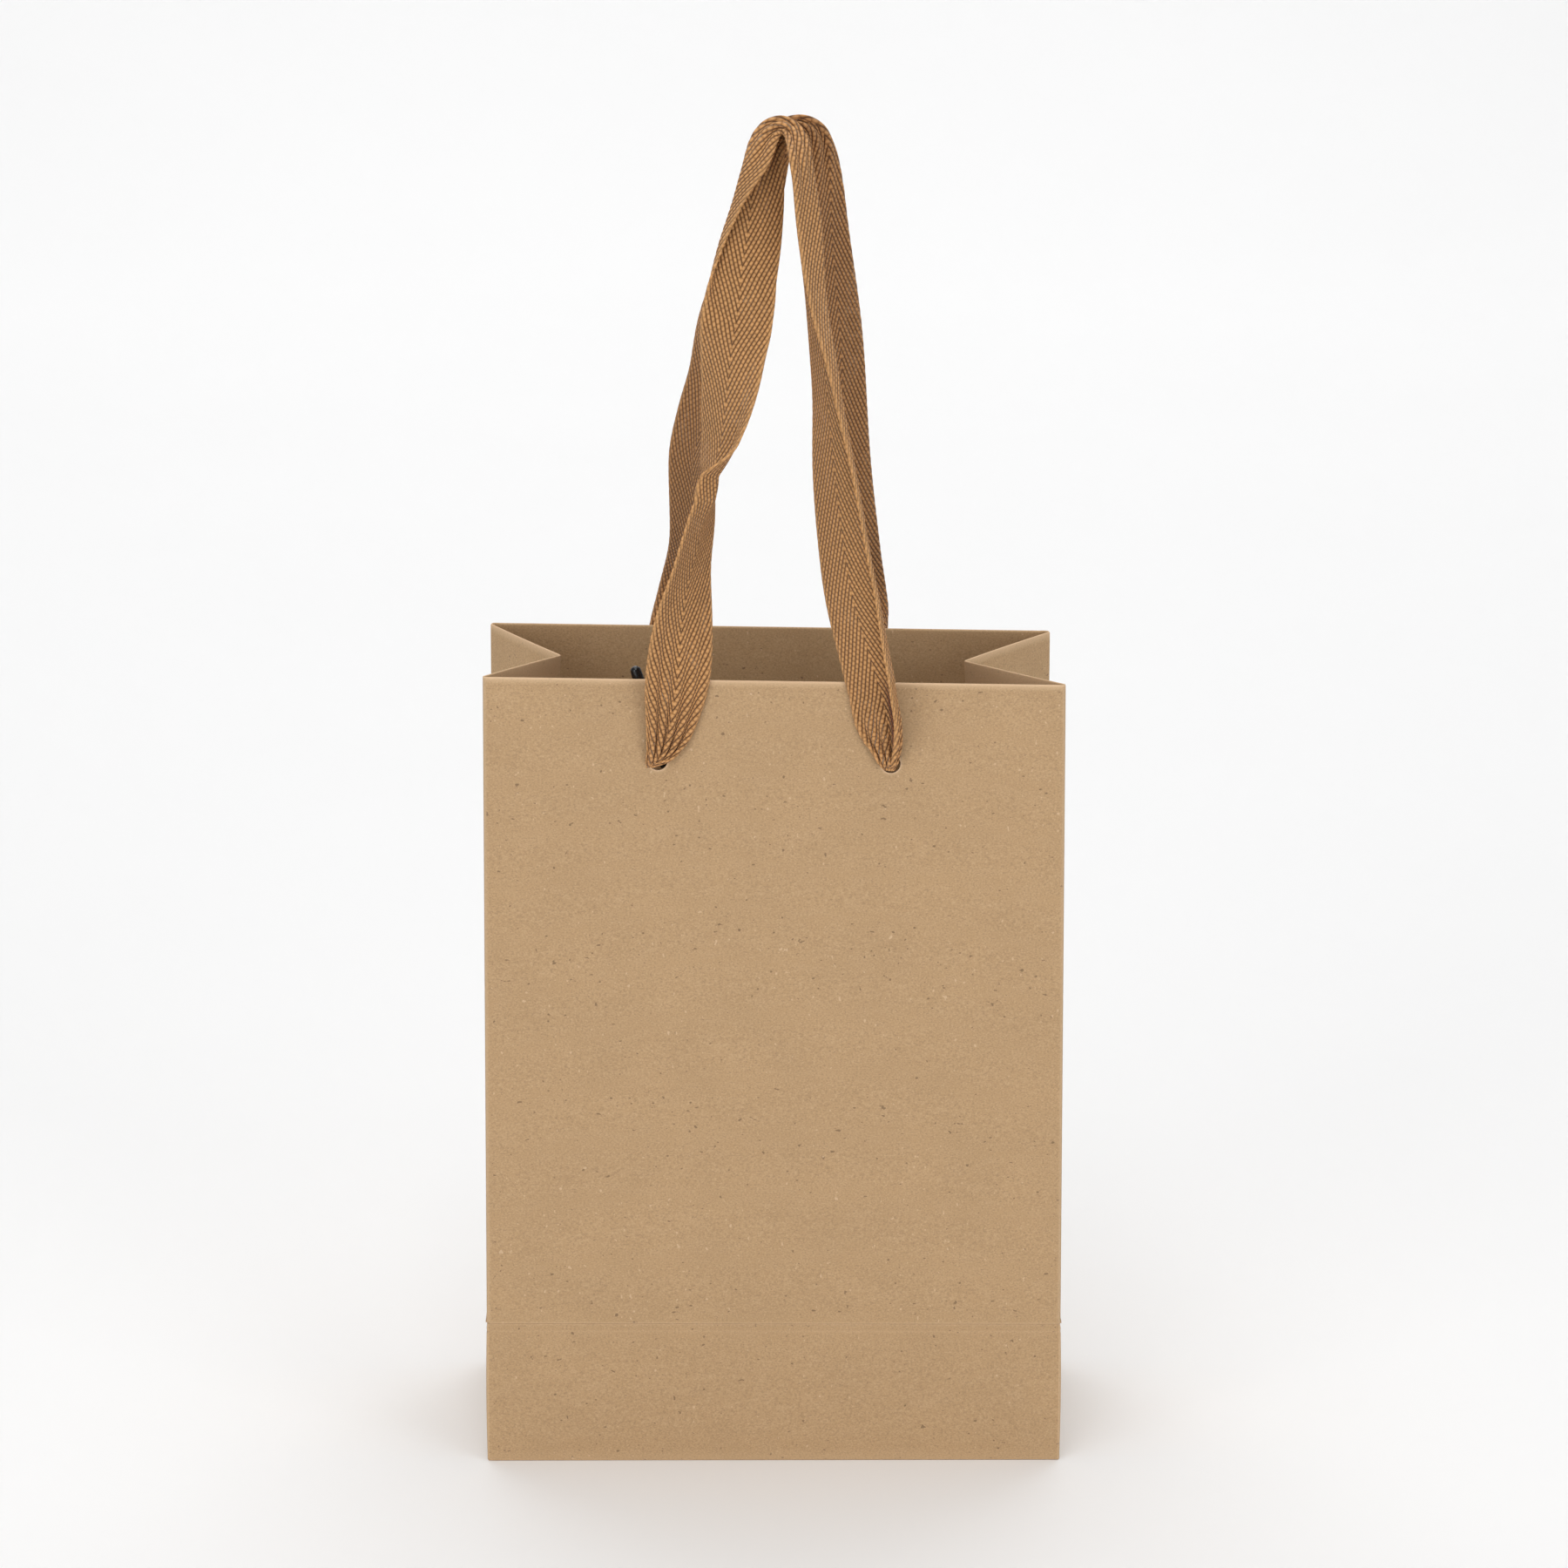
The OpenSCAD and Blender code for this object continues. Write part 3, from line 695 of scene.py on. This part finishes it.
def lap_pieces():
    """The glued seam at the left of the back: a lap inside the panel and another inside the band."""
    low, high = node_box("seam_lap_upper")
    v = np.linspace((low[2] - CREASE) / LEAN_C, (high[2] - CREASE) / LEAN_C, 60)
    u = np.linspace(low[0], high[0], 12)
    u, v = np.meshgrid(u, v)
    u = u + 0.25 * MM * np.sin(v * 90) * (u > high[0] - 2 * MM)
    lift = 0.12 * MM * smooth(u, high[0] - 3 * MM, high[0])
    surface = lambda w: settle(on_panel(u, v, w + lift - bow(u, v), True))
    upper = shell("seam_lap_upper_paper", surface(PAPER), surface(2 * PAPER), KRAFT, flip=True)
    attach(upper, "back_side")
    low, high = node_box("seam_lap_lower")
    z, u = np.meshgrid(np.linspace(low[2], high[2], 12), np.linspace(low[0], high[0], 12), indexing="ij")
    surface = lambda w: settle(np.stack([u, HALF_D - w + 0 * u, z], -1))
    lower = shell("seam_lap_lower_paper", surface(PAPER), surface(2 * PAPER), KRAFT, flip=True)
    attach(lower, "base")
    for piece, node in ((upper, "seam_lap_upper"), (lower, "seam_lap_lower")):
        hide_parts(node)


def flap_piece(node, along_x, fold_at, taper, material):
    """A bottom flap or the base card: a thin sheet, cut narrower towards its free edge."""
    low, high = node_box(node)
    x, y = np.meshgrid(np.linspace(low[0], high[0], 40), np.linspace(low[1], high[1], 30))
    if along_x:
        free = np.abs(x - fold_at) / (high[0] - low[0])
        y = y * (1 - taper * smooth(free, 0.1, 1))
    else:
        free = np.abs(y - fold_at) / (high[1] - low[1])
        x = x * (1 - taper * smooth(free, 0.1, 1))
    wave = 0.05 * MM * np.sin(x * 55) * np.sin(y * 70)
    surface = lambda z: settle(np.stack([x, y, z + wave * (z > low[2])], -1))
    piece = shell(node + "_sheet", surface(low[2]), surface(high[2]), material)
    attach(piece, "base")
    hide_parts(node)


panel_piece("front_paper", back=False)
panel_piece("back_paper", back=True)
for side_name, depth_scale in (("left", LEFT_FOLD), ("right", RIGHT_FOLD)):
    for end_name in ("front", "back"):
        gusset_piece(side_name, end_name, depth_scale)
    gore_piece(side_name, depth_scale)
base_piece()
stiffener_piece("front_stiffener", back=False)
stiffener_piece("back_stiffener", back=True)
lap_pieces()
flap_piece("bottom_front_flap", False, -HALF_D, 0.06, KRAFT)
flap_piece("bottom_back_flap", False, HALF_D, 0.06, KRAFT)
flap_piece("bottom_left_flap", True, -HALF_W, 0.2, KRAFT)
flap_piece("bottom_right_flap", True, HALF_W, 0.2, KRAFT)
flap_piece("base_card", True, -HALF_W, 0, CARD)

# ---------------------------------------------------------------- handles

# A tape's course from its left hole over the top to its right hole, as stations at round
# heights where the tape changes; a smooth curve joins them. Each gives the rise above the holes and x, in
# mm, then the cross-section there: the tape is folded lengthwise at a distance from its outer edge, and the
# parts before and after the fold head off at two angles from the direction towards the middle of the loop.
# The last number is how tightly it is gathered into pleats.
FRONT_COURSE = [
    # out of the left hole, opening flat against the panel
    (-3, -32, 9, -175, -175, 2.1),
    (0, -29, 9, -175, -175, 1.7),
    (10, -26.5, 9, -170, -170, 1.1),
    (20, -25, 9, -165, -165, 0.6),
    (35, -23.5, 9, -145, -145, 0.2),
    # the waist, where it turns over
    (50, -21, 9, -115, -125, 0),
    (60, -19, 11, -105, -125, 0),
    (70, -17.5, 12, -70, -155, 0),
    (80, -14.5, 14, -50, -100, 0),
    # its widest, facing the other handle
    (95, -11.5, 15, -35, -50, 0),
    (105, -10.5, 16, -20, -20, 0),
    (112, -9.5, 2, 20, -10, 0),
    (125, -7, 2.5, 120, 0, 0),
    (140, -4, 5, 130, 15, 0),
    # gathered over the top
    (152, -2.5, 8, 160, 10, 0.4),
    (158, -1, 8, 165, 15, 1.1),
    (160, 2, 8, 160, 20, 1.75),
    (158, 4.5, 8, 155, 35, 1.3),
    # down the right leg, folded lengthwise
    (150, 6.5, 8, 140, 55, 0.4),
    (135, 8.5, 8, 150, 50, 0),
    (115, 10.5, 7, 135, 60, 0),
    (95, 13, 4, 130, 60, 0),
    (70, 15.5, 2.5, 120, 45, 0),
    (45, 19, 2, 125, 35, 0),
    # closing up into the right hole
    (20, 24.5, 5, 115, 20, 0),
    (10, 26.5, 5, 115, 15, 0.5),
    (3, 28.5, 5, 130, 15, 1.4),
    (-3, 29.5, 4.5, 155, 10, 2),
]
BACK_COURSE = [
    # out of the left hole, turning edge on
    (-2, -30, 9, 10, 10, 2.1),
    (0, -29.5, 9, 10, 10, 1.8),
    (10, -27, 9, 20, 20, 1.1),
    (25, -24, 9, 45, 45, 0.3),
    (45, -22, 9, 55, 60, 0),
    (65, -22, 8, 45, 60, 0),
    # crossing behind the front handle's left leg
    (80, -18.5, 6, 40, 50, 0),
    (90, -15, 5, 45, 40, 0),
    (105, -12, 3, 85, 25, 0),
    (120, -8, 4, 120, 30, 0),
    # gathered over the top
    (145, -1.5, 7, 140, 35, 0.2),
    (154, 1, 8, 150, 35, 0.7),
    (159, 5.5, 8.5, 155, 25, 1.6),
    (157, 9.5, 8, 155, 20, 1),
    # down the right leg, a narrow strip turned in
    (145, 12, 6, 145, 30, 0.3),
    (130, 13.5, 4, 130, 35, 0),
    (100, 17, 2.5, 120, 35, 0),
    (70, 19, 2, 120, 35, 0),
    (40, 22.5, 2, 120, 35, 0),
    # closing up into the right hole
    (20, 25.5, 3, 130, 25, 0.6),
    (8, 28, 4, 140, 20, 1.2),
    (-2, 30, 4.5, 155, 10, 2),
]
PLEATS = 5
# how far the tape stands off its panel, and from the middle between the handles at the top
OFF_PANEL = 0.9 * MM
HALF_GAP = 1.4 * MM
# heights above the holes, in mm: just over the panel's edge, and the top of the loop
RISE_TOP = (PANEL_H - HOLE_V) / MM + 1
APEX_RISE = 160.0


def eased(at, knots, values):
    """A smooth curve through the values at the knots, which doesn't overshoot between them."""
    gap = np.diff(knots)
    slope = np.diff(values) / gap
    before, after = slope[:-1], slope[1:]
    same = before * after > 0
    inner = np.where(same, 2 * before * after / np.where(same, before + after, 1), 0)
    lean = np.concatenate([[slope[0]], inner, [slope[-1]]])
    k = np.clip(np.searchsorted(knots, at, side="right") - 1, 0, len(gap) - 1)
    h = gap[k]
    t = (at - knots[k]) / h
    straight = values[k] + (values[k + 1] - values[k]) * t * t * (3 - 2 * t)
    return straight + h * t * (1 - t) * ((1 - t) * lean[k] - t * lean[k + 1])


def resample(stations, spacing=0.6, blur=2.6):
    """The stations' numbers at even spacing along the course, smoothed like a bent tape."""
    stations = np.array(stations, float)
    length = np.concatenate([[0], np.cumsum(np.hypot(*np.diff(stations[:, :2], axis=0).T))])
    fine = np.linspace(0, length[-1], int(length[-1] / spacing) + 1)
    curves = np.stack([eased(fine, length, c) for c in stations.T])
    reach = int(3 * blur / spacing)
    kernel = np.exp(-0.5 * (np.arange(-reach, reach + 1) * spacing / blur) ** 2)
    kernel /= kernel.sum()
    smoothed = []
    for row in curves:
        padded = np.concatenate([2 * row[0] - row[reach:0:-1], row, 2 * row[-1] - row[-2 : -reach - 2 : -1]])
        smoothed.append(np.convolve(padded, kernel, "valid"))
    return np.array(smoothed)


def slit_share(rise):
    """How far open the slit in a tape is, just above its right hole: 0 to 1, at a rise in mm."""
    return smooth(rise, 1.5, 7) * (1 - smooth(rise, 16, 24))


def handle_points(course):
    """A handle's middle surface, as rows along it and columns across it, with unit normals.

    It is made in front of the bag; handle_piece mirrors it for the back.
    """
    rise, x, fold, first, second, gather = resample(course)
    rise_m, x = rise * MM, x * MM
    hole_y = -HALF_D + (HOLE_Z - CREASE) / LEAN_C * LEAN_S
    # up the panel to its top edge, then in towards the other handle
    start = hole_y - OFF_PANEL
    edge = start + RISE_TOP * MM * LEAN_S
    meet = -HALF_GAP
    climb = (rise - RISE_TOP) / (APEX_RISE - RISE_TOP)
    y = np.where(rise < RISE_TOP, start + rise_m * LEAN_S, edge + (meet - edge) * climb)
    into_hole = 1 - smooth(rise, -2.8, -0.4)
    tangent = np.gradient(np.stack([x, rise_m], -1), axis=0)
    tangent /= np.linalg.norm(tangent, axis=1, keepdims=True)
    steady = smooth(rise, 1.0, 8.0)[:, None]
    upright = np.stack([0 * x, np.where(np.arange(len(x)) < len(x) / 2, 1.0, -1.0)], -1)
    tangent = tangent * steady + upright * (1 - steady)
    tangent /= np.linalg.norm(tangent, axis=1, keepdims=True)
    # towards the middle of the loop, square to the course
    inward = np.stack([tangent[:, 1], 0 * x, -tangent[:, 0]], -1)
    columns = 81
    t = np.linspace(0, TAPE_W, columns)[None, :]
    turn = smooth((t / MM - fold[:, None]) / 1.9 + 0.5)
    heading = np.radians(first[:, None] * (1 - turn) + second[:, None] * turn)
    cup = 0.16 * np.sin(math.pi * (t / TAPE_W - 0.5))
    slit = (x[:, None] > 0) * slit_share(rise)[:, None]
    past = t / MM - fold[:, None]
    cup = cup + slit * np.radians(52) * np.exp(-(((past - 1.6) / 1.1) ** 2))
    wave = gather[:, None] * np.sin(2 * math.pi * PLEATS * t / TAPE_W + 0.6)
    heading = heading + cup + wave
    step = TAPE_W / (columns - 1)
    n_part = np.cumsum(np.cos(heading), axis=1) * step
    y_part = np.cumsum(np.sin(heading), axis=1) * step
    n_part -= (n_part.max(1, keepdims=True) + n_part.min(1, keepdims=True)) / 2
    against = np.maximum(1 - smooth(rise, 26, 48), smooth(rise, 138, 154))[:, None]
    middle, nearest = y_part.mean(1, keepdims=True), y_part.max(1, keepdims=True)
    y_part -= middle + (nearest - middle) * against
    y_part *= 1 - 0.35 * into_hole[:, None]
    y = y + into_hole * 1.9 * MM
    n_part *= (1 - 0.12 * into_hole)[:, None]
    z = HOLE_Z + rise_m
    place = (x[:, None] + inward[:, :1] * n_part, y[:, None] + y_part, z[:, None] + inward[:, 2:] * n_part)
    points = np.stack(place, -1)
    along = np.gradient(points, axis=0)
    across = np.gradient(points, axis=1)
    normal = np.cross(across, along)
    normal /= np.linalg.norm(normal, axis=-1, keepdims=True) + 1e-12
    return points, normal, gather, t


def handle_piece(name, course, back):
    points, normal, gather, t = handle_points(course)
    squeezed = 1 - 0.5 * smooth(gather, 0.5, 1.8)
    length = np.cumsum(np.concatenate([[0], np.linalg.norm(np.diff(points.mean(1), axis=0), axis=1)]))
    ridge = (np.abs(t - TAPE_W / 2) * RIDGE_C - length[:, None] * RIDGE_S) / (RIDGE_PITCH * MM)
    crown = 1 - (2 * (ridge % 1) - 1) ** 2
    selvedge = smooth(np.minimum(t, TAPE_W - t), 0, 0.7 * MM) * 0.45 + 0.55
    half = TAPE_T / 2 * squeezed[:, None] * selvedge * (0.74 + 0.26 * crown)
    uv = np.stack(np.broadcast_arrays(t / MM / 100, length[:, None] / MM / 100), -1)
    first, second = points + normal * half[..., None], points - normal * half[..., None]
    # painted shade: the sides that face the other handle are darkened, and a painted shadow darkens the front
    # tape's slit
    facing = smooth(normal[..., 1], 0.0, 0.7)
    away = smooth(-normal[..., 1], 0.0, 0.7)
    # how strongly the painted shade darkens the sides facing the other handle
    depth = 0.3 if back else 0.15
    painted_slit_shadow = 0.0 * t
    if back:
        first, second = first * [1, -1, 1], second * [1, -1, 1]
    else:
        rise = (points[..., 2] - HOLE_Z) / MM
        inside = (points[..., 0] > 0) * slit_share(rise)
        # painted shadow along the slit, just above the right hole
        painted_slit_shadow = inside * np.exp(-(((t / MM - 6.8) / 1.4) ** 4))
    painted_shade = (np.maximum(depth * facing, painted_slit_shadow), np.maximum(depth * away, painted_slit_shadow))
    sides = settle(first), settle(second)
    piece = shell(name, *sides, TAPE, uv=uv, wear_and_painted_light=painted_shade, flip=back, sharp=75, attribute_name="painted_shade")
    end = "back" if back else "front"
    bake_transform(piece)
    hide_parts(f"{end}_handle", f"{end}_tape_necks")


# ---------------------------------------------------------------- toggles and the tape's ends

TOGGLE_R = 1.5 * MM
# the tape's sleeve round a toggle
SLEEVE_OUT, SLEEVE_IN = 2.2 * MM, 1.55 * MM


def toggle_piece(node, body, shift):
    """A moulded bar with blunt ends, a waist under the tape and a faint seam, along the CAD bar's axis."""
    cad = frame["nodes"][node]
    points = np.array([cad.matrix_world @ v.co for v in cad.data.vertices])
    middle = points.mean(0)
    axis = np.linalg.svd(points - middle)[2][0]
    axis *= np.sign(axis[2])
    reach = (points - middle) @ axis
    half, radius = (reach.max() - reach.min()) / 2, TOGGLE_R
    middle = middle + axis * (reach.max() + reach.min()) / 2
    middle = middle + np.array(shift)
    side = np.cross(axis, [0, 1, 0])
    side /= np.linalg.norm(side)
    depth = np.cross(side, axis)
    n = 32
    blunt = np.linspace(0, math.pi / 2, 9)[:-1]
    profile = np.concatenate([np.sin(blunt) * 0.92, np.linspace(0.92, 1, 4)])
    shoulder = np.linspace(-half + radius * 0.8, -half + radius * 2, 4)
    at = np.concatenate([-half + (1 - np.cos(blunt)) * radius * 0.8, shoulder])
    body_at = np.linspace(-half + radius * 2, 0, 16)[1:]
    waist = 1 - 0.12 * np.exp(-((body_at / (3 * MM)) ** 2))
    at, profile = np.concatenate([at, body_at]), np.concatenate([profile, waist])
    at, profile = np.concatenate([at, -at[-2::-1]]), np.concatenate([profile, profile[-2::-1]])
    angle = np.linspace(0, 2 * math.pi, n, endpoint=False)
    seam = 1 + 0.035 * (np.exp(-((np.sin(angle) / 0.16) ** 2)))
    ring = radius * 0.965 * seam
    circle = (np.cos(angle)[:, None] * side + np.sin(angle)[:, None] * depth) * ring[:, None]
    rows = [middle + axis * a + r * circle for a, r in zip(at[1:-1], profile[1:-1])]
    verts = np.concatenate([[middle + axis * at[0]], *rows, [middle + axis * at[-1]]])
    faces = [(0, 1 + (k + 1) % n, 1 + k) for k in range(n)]
    for i in range(len(rows) - 1):
        for k in range(n):
            a, b = 1 + i * n + k, 1 + i * n + (k + 1) % n
            faces.append((a, b, b + n, a + n))
    last = len(verts) - 1
    faces += [(last, last - n + k, last - n + (k + 1) % n) for k in range(n)]
    piece = make_object(node + "_bar", settle(verts), faces, BLACK)
    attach(piece, body)
    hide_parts(node)
    return middle, axis


def tail_piece(node, body, bar, sign, back):
    """The gathered end of the tape: pleated through the hole, up the hem and wrapped round the bar."""
    middle, axis = bar
    hole = on_panel(np.array(sign * HOLE_X), np.array(HOLE_V), np.array(0.0), back)
    inward = on_panel(0, 0, 1.0, back) - on_panel(0, 0, 0.0, back)
    up = on_panel(0, 1.0, 0, back) - on_panel(0, 0.0, 0, back)
    strap_in = EDGE_T + 0.45 * MM
    foot = np.dot(middle - hole, inward)
    flat_middle = middle - inward * (foot - strap_in)
    # through the hole, a bend, then flat up the hem to the bar
    route = [(hole + inward * k + up * 0.9 * MM, 1.7 * MM, 1.2 * MM) for k in (0.15 * MM, 0.6 * MM)]
    bend = hole + inward * strap_in
    route += [(bend + up * 0.5 * MM, 2.1 * MM, 0.42 * MM)]
    route += [(bend + (flat_middle - bend) * f, (2.1 + 0.3 * f) * MM, 0.36 * MM) for f in (0.35, 0.65, 1.0)]
    n = 40
    angle = np.linspace(0, 2 * math.pi, n, endpoint=False)
    rows, spots = [], []
    sideways = np.cross(inward, up)
    direction = flat_middle - bend
    direction = direction / (np.linalg.norm(direction) + 1e-9)
    for i, (centre, wide, thick) in enumerate(route):
        across = sideways if i < 2 else np.cross(inward, direction)
        across = across / np.linalg.norm(across)
        over = up if i < 2 else inward
        pleat = 1 + 0.07 * np.sin(angle * 7 + i)
        broad, deep = (np.cos(angle) * wide * pleat)[:, None], (np.sin(angle) * thick * pleat)[:, None]
        rows.append(centre + across * broad + over * deep)
        spots.append(np.stack([angle / (2 * math.pi) * TAPE_W / MM / 100, np.full(n, i * 0.03)], -1))
    verts, uv = list(np.concatenate(rows)), list(np.concatenate(spots))
    faces = []
    for i in range(len(rows) - 1):
        for k in range(n):
            a, b = i * n + k, i * n + (k + 1) % n
            faces.append((a, b, b + n, a + n))
    faces += [tuple(range(n))[::-1], tuple(range((len(rows) - 1) * n, len(rows) * n))]
    # the sleeve round the bar, ribbed by its yarns
    side = np.cross(axis, inward)
    side /= np.linalg.norm(side)
    circle = np.cos(angle)[:, None] * side + np.sin(angle)[:, None] * np.cross(side, axis)
    offset = len(verts)
    reach = np.linspace(-2.5, 2.5, 21) * MM
    for wall, grow in ((SLEEVE_OUT, 1), (SLEEVE_IN, -1)):
        for z in reach[::grow]:
            rib = wall * (1 + (0.03 * math.sin(z / MM * 5.5) if grow > 0 else 0))
            edge = 1 - 0.08 * (abs(z) / reach[-1]) ** 6 * (grow > 0)
            verts += list(middle + axis * z + circle * rib * edge)
            uv += [(z / MM / 100 + 0.05, a / (2 * math.pi) * 0.13) for a in angle]
    loops = 2 * len(reach)
    for i in range(loops):
        for k in range(n):
            a, b = offset + i * n + k, offset + i * n + (k + 1) % n
            c, d = offset + (i + 1) % loops * n + (k + 1) % n, offset + (i + 1) % loops * n + k
            faces.append((a, b, c, d))
    piece = make_object(node + "_tape", settle(np.array(verts)), faces, TAPE, uv=np.array(uv))
    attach(piece, body)
    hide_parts(node)
    return piece


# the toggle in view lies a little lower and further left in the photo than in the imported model
FRONT_LEFT_SHIFT = (-1.4 * MM, 0, -1.4 * MM)

for end_name, course in (("front", FRONT_COURSE), ("back", BACK_COURSE)):
    for side_name, side_sign in (("left", -1), ("right", 1)):
        part = f"{end_name}_{side_name}"
        body = end_name + "_side"
        shift = FRONT_LEFT_SHIFT if part == "front_left" else (0, 0, 0)
        bar_place = toggle_piece(part + "_toggle", body, shift)
        tail_piece(part + "_tail", body, bar_place, side_sign, end_name == "back")
    handle_piece(end_name + "_tape", course, end_name == "back")
